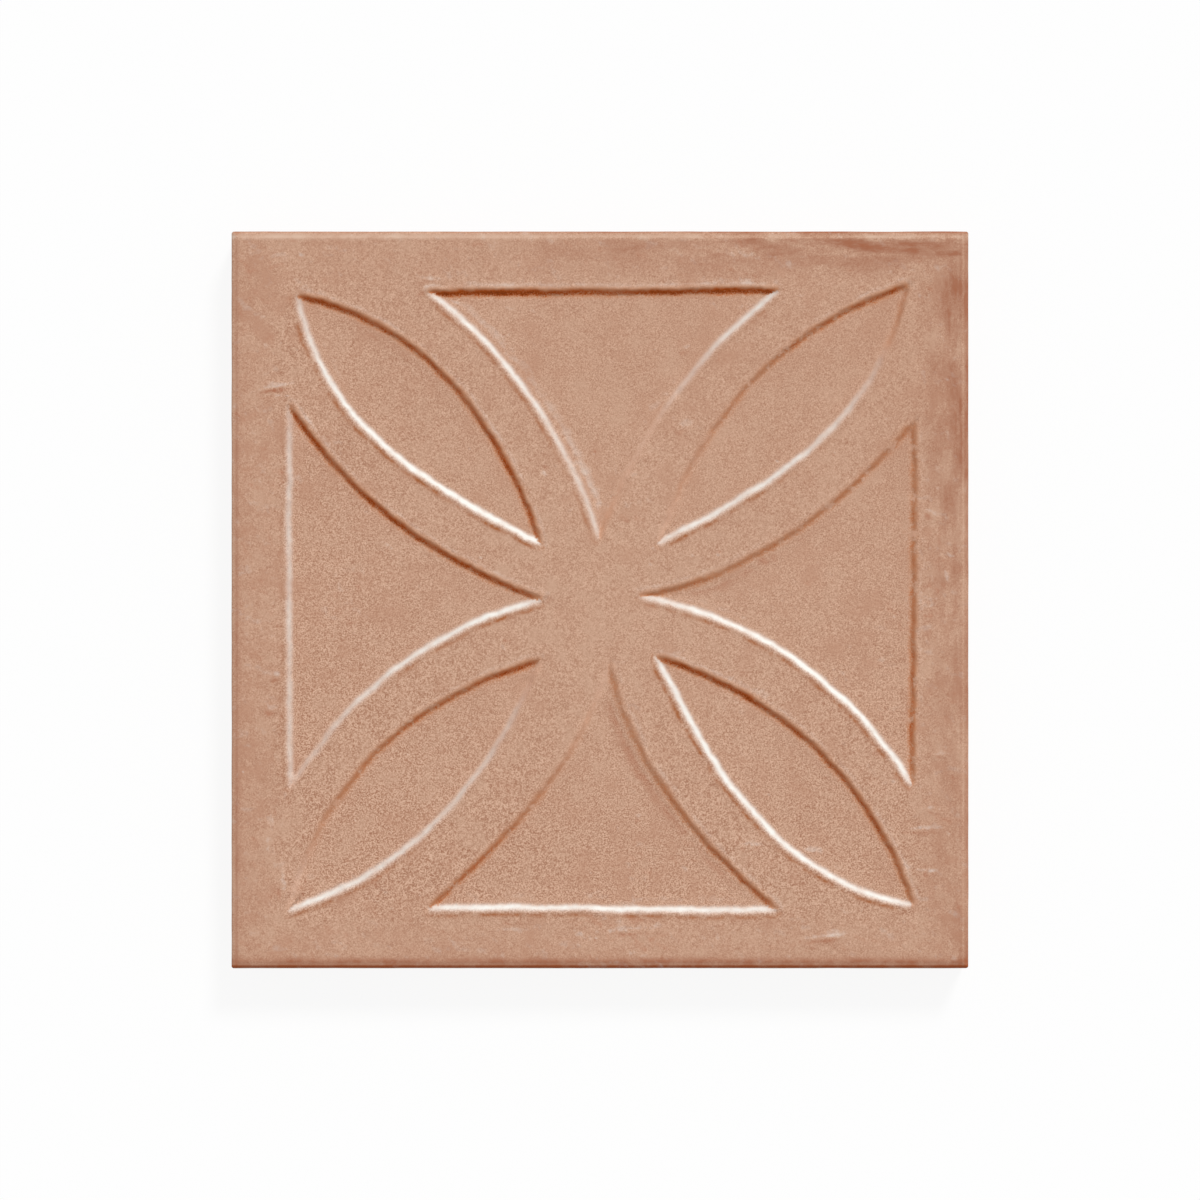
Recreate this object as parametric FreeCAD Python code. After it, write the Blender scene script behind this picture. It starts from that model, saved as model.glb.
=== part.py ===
import FreeCAD
import Part
import math
import os

# Terracotta floor tile, 200 mm square, pressed from one bat of clay and fired as one piece.
# Its face carries a sunk cross-and-petal relief: four pointed petals on the diagonals and four
# concave-sided panels between them. What stays at full height is the plain border, the curved
# bands between petals and panels, and the boss in the middle where the bands meet.
# The back has shallow key grooves for the bedding mortar.
# Frame: origin at the middle of the underside, +Z up through the face, sizes in millimetres.

# Blank
tile_side = 200.0
tile_thickness = 15.0
arris_radius = 2.4           # rounding where the face meets the four sides
corner_radius = 0.8          # the four upright corners
foot_chamfer = 0.6           # small bevel where the sides meet the underside

# Relief on the face
border_width = 15.0          # plain strip from the side of the tile to the rim of a panel
relief_depth = 1.5
wall_angle = 45.0            # slope of the recess walls above the level, in degrees
petal_radius = 107.5         # both flanks of a petal, at the rim
petal_heel = 14.25           # inner point of a petal, from each centre line of the tile
panel_point = 12.35          # inner point of a panel, from the centre of the tile
nose_radius = 0.6            # rounding of the pointed corners in plan
root_radius = 0.5            # rounding at the foot of the recess walls
rim_radius = 0.45            # rounding at the top of the recess walls

# Key grooves in the back
groove_count = 10            # an even number leaves a land under the middle of the tile
groove_pitch = 20.0
groove_mouth = 9.0
groove_depth = 1.5
groove_draft = 45.0          # lean of the groove's walls from upright, in degrees

# Working values
clearance = 1.0              # tools that cut through a face start this far outside it
tolerance = 0.0001           # two heights closer than this are the same height

half_side = tile_side / 2
field_half = half_side - border_width
face_z = tile_thickness
floor_z = face_z - relief_depth
wall_run = relief_depth / math.tan(math.radians(wall_angle))
cut_height = relief_depth + clearance
cut_run = wall_run * cut_height / relief_depth

Z_AXIS = FreeCAD.Vector(0, 0, 1)
QUARTER_TURNS = (0, 90, 180, 270)


def upright_edges(shape):
    """The edges that climb from the bottom of a shape to its top."""
    low, high = shape.BoundBox.ZMin, shape.BoundBox.ZMax
    return [e for e in shape.Edges
            if abs(e.BoundBox.ZMin - low) < tolerance and abs(e.BoundBox.ZMax - high) < tolerance]


def edges_at_height(shape, z):
    """The edges that lie level at one height."""
    return [e for e in shape.Edges
            if abs(e.BoundBox.ZMin - z) < tolerance and abs(e.BoundBox.ZMax - z) < tolerance]


def blank():
    """The square body with its rounded face edges and bevelled foot."""
    body = Part.makeBox(tile_side, tile_side, tile_thickness,
                        FreeCAD.Vector(-half_side, -half_side, 0))
    body = body.makeFillet(corner_radius, upright_edges(body))
    body = body.makeChamfer(foot_chamfer, edges_at_height(body, 0))
    return body.makeFillet(arris_radius, edges_at_height(body, face_z))


def petal_centres():
    """The two points that the flanks of the petal on the +X +Y diagonal are struck from."""
    middle = (field_half + petal_heel) / 2
    half_chord = (field_half - petal_heel) * math.sqrt(2) / 2
    reach = math.sqrt(petal_radius ** 2 - half_chord ** 2) / math.sqrt(2)
    return (FreeCAD.Vector(middle + reach, middle - reach, floor_z),
            FreeCAD.Vector(middle - reach, middle + reach, floor_z))


def finish_recess(tool):
    """Rounds the pointed corners of a recess in plan, then the foot of its walls."""
    tool = tool.makeFillet(nose_radius, upright_edges(tool))
    return tool.makeFillet(root_radius, edges_at_height(tool, floor_z))


def petal():
    """A pointed petal: what two leaning-walled discs have in common."""
    discs = [Part.makeCone(petal_radius - wall_run, petal_radius - wall_run + cut_run,
                           cut_height, centre) for centre in petal_centres()]
    return finish_recess(discs[0].common(discs[1]))


def panel():
    """The panel on the +X side. Its flanks share their centres with the petals beside it,
    so the bands between them keep one width along their length."""
    above = petal_centres()[1]
    below = FreeCAD.Vector(above.x, -above.y, above.z)
    flank_radius = math.hypot(panel_point - above.x, above.y)
    outline = [FreeCAD.Vector(0, -field_half, floor_z),
               FreeCAD.Vector(field_half - wall_run, -field_half, floor_z),
               FreeCAD.Vector(field_half - wall_run + cut_run, -field_half, floor_z + cut_height),
               FreeCAD.Vector(0, -field_half, floor_z + cut_height)]
    section = Part.Face(Part.makePolygon(outline + outline[:1]))
    tool = section.extrude(FreeCAD.Vector(0, 2 * field_half, 0))
    for centre in (above, below):
        flank = Part.makeCone(flank_radius + wall_run, flank_radius + wall_run - cut_run,
                              cut_height, centre)
        tool = tool.cut(flank)
    return finish_recess(tool)


def recesses():
    """Four petals on the diagonals and four panels between them."""
    tools = []
    for shape in (petal(), panel()):
        for turn in QUARTER_TURNS:
            copy = shape.copy()
            copy.rotate(FreeCAD.Vector(0, 0, 0), Z_AXIS, turn)
            tools.append(copy)
    return tools


def key_grooves():
    """Parallel grooves along Y, open at both ends, with leaning walls."""
    length = tile_side + 2 * clearance
    start = -length / 2
    lean = math.tan(math.radians(groove_draft))
    half_mouth = groove_mouth / 2
    profile = [FreeCAD.Vector(-half_mouth - clearance * lean, start, -clearance),
               FreeCAD.Vector(half_mouth + clearance * lean, start, -clearance),
               FreeCAD.Vector(half_mouth - groove_depth * lean, start, groove_depth),
               FreeCAD.Vector(-half_mouth + groove_depth * lean, start, groove_depth)]
    groove = Part.Face(Part.makePolygon(profile + profile[:1]))
    groove = groove.extrude(FreeCAD.Vector(0, length, 0))
    tools = []
    for index in range(groove_count):
        copy = groove.copy()
        copy.translate(FreeCAD.Vector((index - (groove_count - 1) / 2) * groove_pitch, 0, 0))
        tools.append(copy)
    return tools


def rim_edges(body):
    """The edges of the face where it breaks into a recess."""
    inside = half_side - arris_radius - tolerance
    return [e for e in edges_at_height(body, face_z)
            if max(abs(e.BoundBox.XMin), abs(e.BoundBox.XMax),
                   abs(e.BoundBox.YMin), abs(e.BoundBox.YMax)) < inside]


def floor_tile():
    """The whole tile, as one solid."""
    body = blank().cut(key_grooves()).cut(recesses())
    return body.makeFillet(rim_radius, rim_edges(body)).Solids[0]


os.makedirs("parts", exist_ok=True)
tile = floor_tile()
tile.exportStep("parts/floor_tile.step")
print("floor_tile: valid", tile.isValid(), "volume", round(tile.Volume, 1), "mm3, faces",
      len(tile.Faces))
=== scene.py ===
"""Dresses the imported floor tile: pressed relief, key grooves, fired-clay finishes, stage and camera."""
import math
import random

import bmesh
import bpy
from bpy.props import FloatProperty, FloatVectorProperty, IntProperty, PointerProperty
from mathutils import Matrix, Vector, kdtree, noise
from mathutils.geometry import delaunay_2d_cdt, interpolate_bezier


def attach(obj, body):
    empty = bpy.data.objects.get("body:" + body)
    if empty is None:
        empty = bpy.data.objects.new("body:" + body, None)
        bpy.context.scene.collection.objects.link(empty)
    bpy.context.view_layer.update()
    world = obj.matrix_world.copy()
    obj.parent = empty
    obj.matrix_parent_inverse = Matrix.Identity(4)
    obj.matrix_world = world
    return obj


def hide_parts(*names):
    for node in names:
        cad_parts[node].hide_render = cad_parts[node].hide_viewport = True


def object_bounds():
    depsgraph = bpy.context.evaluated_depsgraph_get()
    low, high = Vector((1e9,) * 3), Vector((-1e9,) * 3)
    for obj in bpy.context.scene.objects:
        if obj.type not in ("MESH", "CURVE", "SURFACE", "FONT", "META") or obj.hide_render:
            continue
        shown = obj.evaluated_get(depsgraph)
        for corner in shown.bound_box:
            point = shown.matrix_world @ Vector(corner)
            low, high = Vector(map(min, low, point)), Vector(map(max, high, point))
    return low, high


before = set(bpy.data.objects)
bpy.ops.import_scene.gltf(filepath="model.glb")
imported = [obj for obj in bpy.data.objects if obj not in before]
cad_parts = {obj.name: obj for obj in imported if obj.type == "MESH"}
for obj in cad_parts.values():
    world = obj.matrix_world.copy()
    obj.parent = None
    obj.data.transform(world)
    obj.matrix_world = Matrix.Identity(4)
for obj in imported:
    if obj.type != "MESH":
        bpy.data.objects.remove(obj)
cad_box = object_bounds()

bl_info = {
    "name": "Terracotta floor tile",
    "version": (1, 0, 0),
    "blender": (4, 5, 0),
    "location": "3D View > Sidebar > Floor tile",
    "description": "Presses a cross-and-petal floor tile from clay and sets the stage it is shown on",
    "category": "Object",
}

MM = 0.001
TILE_NODE = "floor_tile"
TILE_HALF = cad_box[1].x
TILE_TOP = cad_box[1].z
UNDERSIDE = 0.01 * MM        # height of the lands between the key grooves above the floor
BORDER_START = 80 * MM       # from the middle of the tile: where the border's tints begin
BORDER_FULL = 90 * MM        # and where they are full

# The middle of each recess wall, in millimetres, going round the recess counter-clockwise. A corner
# is followed by how far the side that starts there stands off its chord, near its start and near its end,
# where a negative bulge curves into the recess, and by how firmly that side was pressed, at even steps.
RECESSES = {
    "petal_top_left": (
        ((-16, 15.2), (10.8, 15.4), (1.05, 1.1, 0.85, 0.82, 1.1)),
        ((-82, 82.4), (15.5, 7.5), (0.85, 0.85, 0.96, 1.12, 1))),
    "petal_top_right": (
        ((15.7, 15.5), (8.5, 15.6), (1.15, 1.3, 1.3, 1.6, 1.2)),
        ((83.2, 85.2), (12.6, 11.4), (1.1, 1.1, 1, 0.85, 0.95, 1.2, 0.3))),
    "petal_bottom_right": (
        ((15.2, -15.5), (8.2, 16), (1.02, 1.08, 1.02, 0.86, 0.93)),
        ((85, -82.8), (12.4, 12), (0.85, 0.95, 0.82, 1, 0.92))),
    "petal_bottom_left": (
        ((-16, -16.3), (12.8, 14.2), (1.05, 1.15, 1.05, 1, 1.3, 1.4, 0.1)),
        ((-84.6, -84), (12.5, 9.8), (1, 1.1, 1.2, 1.2, 1.6, 2.3, 0.2))),
    "panel_top": (
        ((-0.2, 16.7), (-5.8, -6.2), (1, 0.6, 0.3, 1, 1.5, 1.6)),
        ((48.2, 83.9), (0, -0.3), (1.4, 1.35, 1, 1.4, 1.4)),
        ((-46.2, 83.3), (-6.8, -6), (0.72, 0.8, 0.75, 0.48, 0.5))),
    "panel_right": (
        ((10.9, 1), (-10.2, -9.2), (0.6, 0.88, 0.97, 1, 1)),
        ((84.7, -50), (-0.1, 0.1), (1, 1.08, 0.9, 0.8, 0.85)),
        ((85.2, 48.5), (-6.8, -8.9), (1, 0.85, 0.72, 0.55, 0.9))),
    "panel_bottom": (
        ((2.4, -17.2), (-7.8, -4), (0.3, 0.7, 1.05, 1.15, 1.4)),
        ((-46.2, -83.5), (-0.5, 0.6), (0.86, 0.88, 0.82)),
        ((47.8, -83.9), (-5.5, -7.9), (0.8, 0.75, 0.62, 0.42, 0.55))),
    "panel_left": (
        ((-16, 0.2), (-6.6, -7.9), (0.95, 0.95, 1, 0.95, 1.3)),
        ((-84.4, 52.9), (-0.1, 0.4), (0.7, 1, 0.98, 0.95, 1.1)),
        ((-84, -50.9), (-8.4, -8.7), (1.5, 1.15, 1.3, 1.15, 1))),
}

# Dents and lumps that the press or a finger left, in millimetres: place across and up, length, width,
# height, and the angle of the length from +X in degrees.
MARKS = (
    (-14.9, 35.3, 2, 1.6, -0.26, 0),
    (-26.5, -3, 2.2, 1.4, 0.2, 40),
    (22.8, 46.7, 5, 2.2, 0.16, 30),
    (-46.9, 84.3, 5, 1.4, 0.26, 20),
    (-86.3, -77, 8, 1.6, 0.26, 92),
    (-84.4, -79.5, 3, 1.2, 0.22, 80),
    (10.3, -59.2, 2, 1.2, 0.2, 0),
    (62.4, -91.5, 6, 1.2, 0.18, 10),
    (93.4, 6.2, 4, 1.2, 0.2, 90),
    (18.5, 52.9, 3.2, 1.4, 0.16, 60),
    (21.5, 29.6, 4, 1.2, -0.12, 70),
    (-88, 57.5, 9, 2, 0.14, 5),
    (-88.5, -76, 6, 3, 0.16, 80),
    (-86.5, 10, 12, 2.5, 0.1, 88),
    (-46, 86.4, 8, 1.8, 0.18, 0),
    (-79.5, 48, 6, 1.8, 0.14, -60),
    (88.5, 62, 8, 1.4, -0.1, 90),
    (88, -18, 14, 2, 0.1, 88),
    (59, -92, 12, 1.6, 0.12, 4),
    (-24.5, -88.5, 10, 1.6, -0.08, 0),
    (-88.5, 57.3, 8, 1, 0.16, 12),
    (-85.8, 54.9, 11, 1, 0.14, -5),
    (-25.5, -12.2, 1.8, 1.4, -0.26, 50),
    (24.7, 11.6, 1.6, 1.2, 0.14, 0),
    (-60.8, 19.5, 9, 1.4, 0.12, 70),
    (-63.5, 24.5, 6, 1.2, -0.1, 20),
    (-57.5, 14, 5, 1.2, 0.12, -40),
    (23.1, 67.8, 3, 1.4, 0.16, 30),
    (21.2, 55.9, 1.2, 2.6, -0.18, 0),
    (11.9, 38.6, 3.5, 1.6, 0.14, 20),
    (7.6, 33.2, 1.6, 1.2, 0.16, 0),
    (90.5, 41, 5, 1.2, 0.14, 70),
    (89, 23.5, 4, 1.6, 0.16, -30),
    (40.7, -66.8, 7, 1.2, 0.18, 0),
    (57, -68.4, 6, 1.2, 0.18, -3),
    (86.9, -62.4, 10, 1.2, 0.18, 2),
    (89.6, -57, 5, 1.2, 0.2, 0),
    (93, -42.1, 8, 1.2, 0.18, 3),
    (88.2, -73.8, 7, 1.2, 0.16, -2),
    (76, -40.7, 3, 1.4, 0.2, 10),
    (8.1, -90, 14, 1.4, 0.13, 3),
    (-90.5, -66, 5, 1.4, 0.2, 85),
    (-88.6, -58, 7, 1.4, -0.2, 95),
    (-89.4, -30, 3, 2, 0.2, 0),
    (-88.2, -21, 3, 1.6, 0.22, 30),
)

# Brown painted shade and pale painted light along each side of the face, darkest along the bottom, which
# faces away from the key light: bands as distance from the side, half width (mm) and strength. A negative
# band is painted paler than the clay, as light.
EDGE_SHADE_BANDS = {
    "right": ((0.45, 0.6, 0.25), (1.55, 0.3, -0.3), (2.9, 0.4, -0.12)),
    "top": ((0.1, 0.3, 0.6), (1.45, 0.75, -0.75)),
    "left": ((0.6, 0.35, -0.1), (1.45, 0.5, 0.36), (2.4, 0.7, 0.1)),
    "bottom": ((0.62, 0.42, 1.6), (2, 1, 0.66)),
}

# How far the wash is streaked into the plain border (mm), and its strength at the lower or left end of
# that side and at the other end
BORDER_WASH = {
    "right": (17, 0.3, 0.58),
    "top": (16, 0.02, 0.7),
    "left": (12, 0.14, 0.08),
    "bottom": (9, 0.12, 0.12),
}

# The axis across each side, and the way along it that leads from the side to the middle of the tile
SIDES = {"right": (0, -1), "top": (1, -1), "left": (0, 1), "bottom": (1, 1)}

# How widely the outer edge of the face is rounded along each side (mm)
EDGE_ROLLS = {"right": 0.7, "top": 0.4, "left": 0.6, "bottom": 1.1}

# Where the mesh has its rows of points, in millimetres: either side of the middle of a wall, in from the
# sides of the tile, and up its sides. Each height has how strongly the key grooves press there, from 0 to 1.
WALL_ROWS = (0, 0.28, 0.56, 0.85, 1.15, 1.5, 1.95, 2.5)
EDGE_ROWS = (4.4, 3.8, 3.3, 2.9, 2.5, 2.2, 1.95, 1.7, 1.45, 1.2, 0.95, 0.65, 0.35, 0.2, 0.1, 0.03, 0)
SIDE_ROWS = ((11.6, 0), (9.6, 0), (7.6, 0), (5.6, 0), (4.2, 0), (3.2, 0.05), (2.2, 0.4), (1.4, 0.75))

# What the named sockets of the trees hold, where it isn't a number
SOCKET_KINDS = {"Geometry": "Geometry", "Outlines": "Object", "Material": "Material",
                "Vector": "Vector", "Light Way": "Vector"}


def a_length(name, description, size, least=0.0):
    """A length that a user can set, given in millimetres."""
    return FloatProperty(name=name, description=description, default=size * MM, min=least * MM, unit="LENGTH")


def an_angle(name, description, degrees, least=0.0, most=90.0):
    """An angle that a user can set, given in degrees."""
    return FloatProperty(name=name, description=description, default=math.radians(degrees),
                         min=math.radians(least), max=math.radians(most), subtype="ANGLE")


def a_share(name, description, share):
    """A share from 0 to 1 that a user can set."""
    return FloatProperty(name=name, description=description, default=share, min=0, max=1, subtype="FACTOR")


def a_colour(name, description, rgb):
    """A colour that a user can set."""
    return FloatVectorProperty(name=name, description=description, default=rgb, min=0, max=1,
                               subtype="COLOR", size=3)


class TileSizes(bpy.types.PropertyGroup):
    """The sizes that shape the tile."""
    margin: a_length("Margin", "Gap between the tile and the packed model's box", 0.03)
    face_rest: a_length("Face below top", "How far the plain face lies below the highest point", 0.4)
    relief_depth: a_length("Relief depth", "How deep the petals and panels are pressed", 1.4)
    wall_width: a_length("Wall width", "Width of the sloping recess wall, rim to root", 2, 0.1)
    corner_fade: a_length("Corner fade", "Distance over which a wall softens towards its corners", 2.4, 0.1)
    waver: a_length("Waver", "How far the hand-cut walls stray from their outline", 0.95)
    lip_height: a_length("Lip height", "Height of the clay raised outside the recess walls", 0.2)
    lip_reach: a_length("Lip reach", "Distance from the middle of the wall to the top of the lip", 1.25)
    undulation: a_length("Undulation", "Height of the broad waves in the pressed face", 0.22)
    corner_radius: a_length("Corner radius", "Rounding of the four upright corners", 0.8)
    bevel_width: a_length("Bevel width", "Width of the gentle slope round the face", 2.1)
    bevel_slope: an_angle("Bevel slope", "Steepness of the gentle slope round the face", 14)
    edge_ridge: a_length("Edge ridge", "Height of the faint ridge along the inside of the bevel", 0.07)
    foot_bevel: a_length("Foot bevel", "Small bevel where the sides meet the underside", 0.6)
    groove_pitch: a_length("Groove pitch", "Spacing of the key grooves across the back", 20, 1)
    groove_mouth: a_length("Groove mouth", "Width of a key groove at the underside", 9)
    groove_depth: a_length("Groove depth", "Depth of a key groove", 1.5)
    face_spacing: a_length("Face spacing", "Spacing of mesh points on the plain face", 1.3, 0.2)
    wall_spacing: a_length("Wall spacing", "Spacing of mesh points along the recess walls", 0.85, 0.2)
    seed: IntProperty(name="Seed", description="Seed of every random choice", default=7)


class TileColours(bpy.types.PropertyGroup):
    """The colours and finish of the fired clay, with the colours of its painted shade and highlight."""
    body: a_colour("Body", "Fired clay of the face", (0.535, 0.312, 0.212))
    back: a_colour("Back", "Unwashed clay of the underside", (0.50, 0.275, 0.18))
    # Painted shade: deep brown on recess walls and dents that face away from the key light and along the
    # bottom edge; also the thickest brown wash in the border
    stain_and_shade: a_colour("Stain", "Iron-rich slip where it gathered thickly on a wall", (0.46, 0.082, 0.004))
    # Painted shade: light brown on walls that face partly away from the key light, and the painted shade line
    # beyond the bright walls
    thin_shade: a_colour("Thin stain", "The same slip where it lies thinly", (0.54, 0.235, 0.118))
    # Painted highlight: pale colour on the walls, dents and waves that face the key light
    painted_highlight: a_colour("Bloom", "Pale lime bloom on the lower walls of the recesses", (0.82, 0.81, 0.765))
    dust: a_colour("Dust", "Dry clay dust in the key grooves", (0.66, 0.50, 0.40))
    grain_size: a_length("Grain size", "Size of a sand grain in the clay", 0.38, 0.05)
    grain_height: a_length("Grain height", "How far the sand stands out of the surface", 0.05)
    roughness: a_share("Roughness", "Roughness of the plain clay", 0.78)


class StageSettings(bpy.types.PropertyGroup):
    """The floor, the light and the camera."""
    key_azimuth: an_angle("Key azimuth", "Direction of the key light, clockwise from the top", 24, -360, 360)
    key_elevation: an_angle("Key elevation", "Height of the key light above the floor", 42, 5)
    key_angle: an_angle("Key size", "Apparent size of the key light", 14)
    key_share: a_share("Key share", "Part of the light on a level surface that the key light gives", 0.5)
    floor_half: a_length("Floor half size", "Half the side of the floor", 3000)
    floor_colour: a_colour("Floor", "Colour of the floor", (0.9, 0.9, 0.9))
    backdrop_glow: a_share("Backdrop white", "How white the floor looks without its lighting", 0.9)
    lens: FloatProperty(name="Lens", description="Focal length in millimetres", default=150, min=20)
    frame_width: a_length("Frame width", "Width of the picture at the edge of the tile's face", 325.7, 1)


class Wiring:
    """Adds nodes to a tree and joins them, so that a rule reads as a row of calls."""

    def __init__(self, tree):
        self.tree = tree

    def add(self, kind, *values, **settings):
        """A node with its settings, fed with values by place, or by name from a dictionary."""
        made = self.tree.nodes.new(kind)
        made.location = (len(self.tree.nodes) * 60, -(len(self.tree.nodes) % 9) * 130)
        for name, value in settings.items():
            setattr(made, name, value)
        for index, value in enumerate(values):
            if isinstance(value, dict):
                self.feed_all(made.inputs, value)
            elif value is not None:
                self.feed(made.inputs[index], value)
        return made

    def feed(self, socket, value):
        """Links a socket, or sets the constant that it holds."""
        if isinstance(value, bpy.types.NodeSocket):
            self.tree.links.new(value, socket)
        elif socket.type == "RGBA":
            socket.default_value = (*value, 1)
        else:
            socket.default_value = value

    def feed_all(self, sockets, values):
        """Feeds several sockets by their names."""
        for name, value in values.items():
            self.feed(sockets[name], value)

    def math(self, operation, *values, clamp=False):
        """One number worked out from others."""
        return self.add("ShaderNodeMath", *values, operation=operation, use_clamp=clamp).outputs[0]

    def scaled(self, value, factor, more, clamp=False):
        """A number times a factor, plus another number."""
        return self.math("MULTIPLY_ADD", value, factor, more, clamp=clamp)

    def product(self, *values):
        """Numbers multiplied together."""
        result = values[0]
        for value in values[1:]:
            result = self.math("MULTIPLY", result, value)
        return result

    def total(self, *values):
        """Numbers added together."""
        result = values[0]
        for value in values[1:]:
            result = self.math("ADD", result, value)
        return result

    def ramp(self, value, start, end, low=0.0, high=1.0, smooth=False):
        """A value that goes from low to high between start and end, and stays there outside."""
        kind = "SMOOTHSTEP" if smooth else "LINEAR"
        made = self.add("ShaderNodeMapRange", value, start, end, low, high, interpolation_type=kind)
        return made.outputs[0]

    def bell(self, value, middle, width):
        """1 where a value is at the middle, falling to nothing either side of it."""
        away = self.math("DIVIDE", self.math("SUBTRACT", value, middle), width)
        return self.math("EXPONENT", self.product(away, away, -1))

    def noise(self, vector, scale, detail=2.0, roughness=0.5):
        """Noise about zero, from about -0.5 to 0.5."""
        made = self.add("ShaderNodeTexNoise", {"Vector": vector, "Scale": scale, "Detail": detail,
                                               "Roughness": roughness})
        return self.math("SUBTRACT", made.outputs[0], 0.5)

    def vector(self, operation, *values):
        """One vector worked out from others."""
        return self.add("ShaderNodeVectorMath", *values, operation=operation).outputs[0]

    def measure(self, operation, *values):
        """One number worked out from vectors."""
        return self.add("ShaderNodeVectorMath", *values, operation=operation).outputs["Value"]

    def axes(self, vector):
        """The three parts of a vector."""
        return self.add("ShaderNodeSeparateXYZ", vector).outputs

    def joined(self, *parts):
        """A vector from its three parts."""
        return self.add("ShaderNodeCombineXYZ", *parts).outputs[0]

    def carried(self, name, kind="FLOAT"):
        """What the mesh carries under a name, read in a geometry tree."""
        return self.add("GeometryNodeInputNamedAttribute", name, data_type=kind).outputs[0]

    def attribute(self, name):
        """A number that the mesh carries, read in a material."""
        return self.add("ShaderNodeAttribute", attribute_name=name).outputs["Fac"]

    def blend(self, factor, first, second):
        """Two colours blended by a factor."""
        made = self.add("ShaderNodeMix", data_type="RGBA", blend_type="MIX")
        for index, value in ((0, factor), (6, first), (7, second)):
            self.feed(made.inputs[index], value)
        return made.outputs[2]

    def raise_by(self, geometry, height):
        """Moves a mesh's points straight up, in a geometry tree."""
        offset = {"Offset": self.joined(0, 0, height)}
        return self.add("GeometryNodeSetPosition", geometry, offset).outputs[0]


def new_tree(kind, name, inputs, outputs):
    """A tree with named inputs and outputs: its wiring, and the sockets of what goes in and comes out."""
    tree = bpy.data.node_groups.new(name, kind)
    for way, sockets in (("INPUT", inputs), ("OUTPUT", outputs)):
        for socket in sockets:
            holds = "NodeSocket" + SOCKET_KINDS.get(socket, "Float")
            tree.interface.new_socket(socket, in_out=way, socket_type=holds)
    return Wiring(tree), tree.nodes.new("NodeGroupInput").outputs, tree.nodes.new("NodeGroupOutput").inputs


def placed(name, data):
    """A new object, put in the scene."""
    made = bpy.data.objects.new(name, data)
    bpy.context.scene.collection.objects.link(made)
    return made


def side_curve(start, bulges, end):
    """The four control points of one side of a recess, in metres."""
    chord = Vector(end) - Vector(start)
    outward = Vector((chord.y, -chord.x)).normalized()
    handle = [Vector(start) + chord * third + outward * bulge * 4 / 3
              for third, bulge in zip((1 / 3, 2 / 3), bulges)]
    return [point * MM for point in (Vector(start), *handle, Vector(end))]


def recess_sides(recess):
    """Every side of a recess as four control points."""
    corners = [side[0] for side in recess]
    return [side_curve(corner, bulges, corners[(index + 1) % len(corners)])
            for index, (corner, bulges, _) in enumerate(recess)]


def outline_object(sizes):
    """Every recess as one flat face whose border follows its walls. Each border point carries the way into
    the recess and how firmly the wall was pressed there, for the relief tree to measure from."""
    spacing = 1.2 * MM
    corner_loss = 0.45
    points, faces, inward, press = [], [], [], []
    for recess in RECESSES.values():
        border = []
        for side, (_, _, firmness) in zip(recess_sides(recess), recess):
            count = math.ceil((side[3] - side[0]).length / spacing)
            line = interpolate_bezier(*side, 2 * count + 1)
            for index in range(1, 2 * count, 2):
                along = (line[index + 1] - line[index - 1]).normalized()
                place = (len(firmness) - 1) * index / (2 * count)
                step = int(place)
                border.append(len(points))
                points.append(line[index].to_3d())
                inward.append((-along.y, along.x, 0.0))
                firm = firmness[step] + (firmness[step + 1] - firmness[step]) * (place - step)
                to_corner = min(index, 2 * count - index) * spacing / 2
                press.append(firm * (1 - corner_loss * math.exp(-(to_corner / sizes.corner_fade) ** 2)))
        faces.append(border)
    mesh = bpy.data.meshes.new("recess outlines")
    mesh.from_pydata(points, [], faces)
    ways = mesh.attributes.new("inward", "FLOAT_VECTOR", "POINT")
    ways.data.foreach_set("vector", [number for way in inward for number in way])
    mesh.attributes.new("press", "FLOAT", "POINT").data.foreach_set("value", press)
    return placed("recess outlines", mesh)


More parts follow.
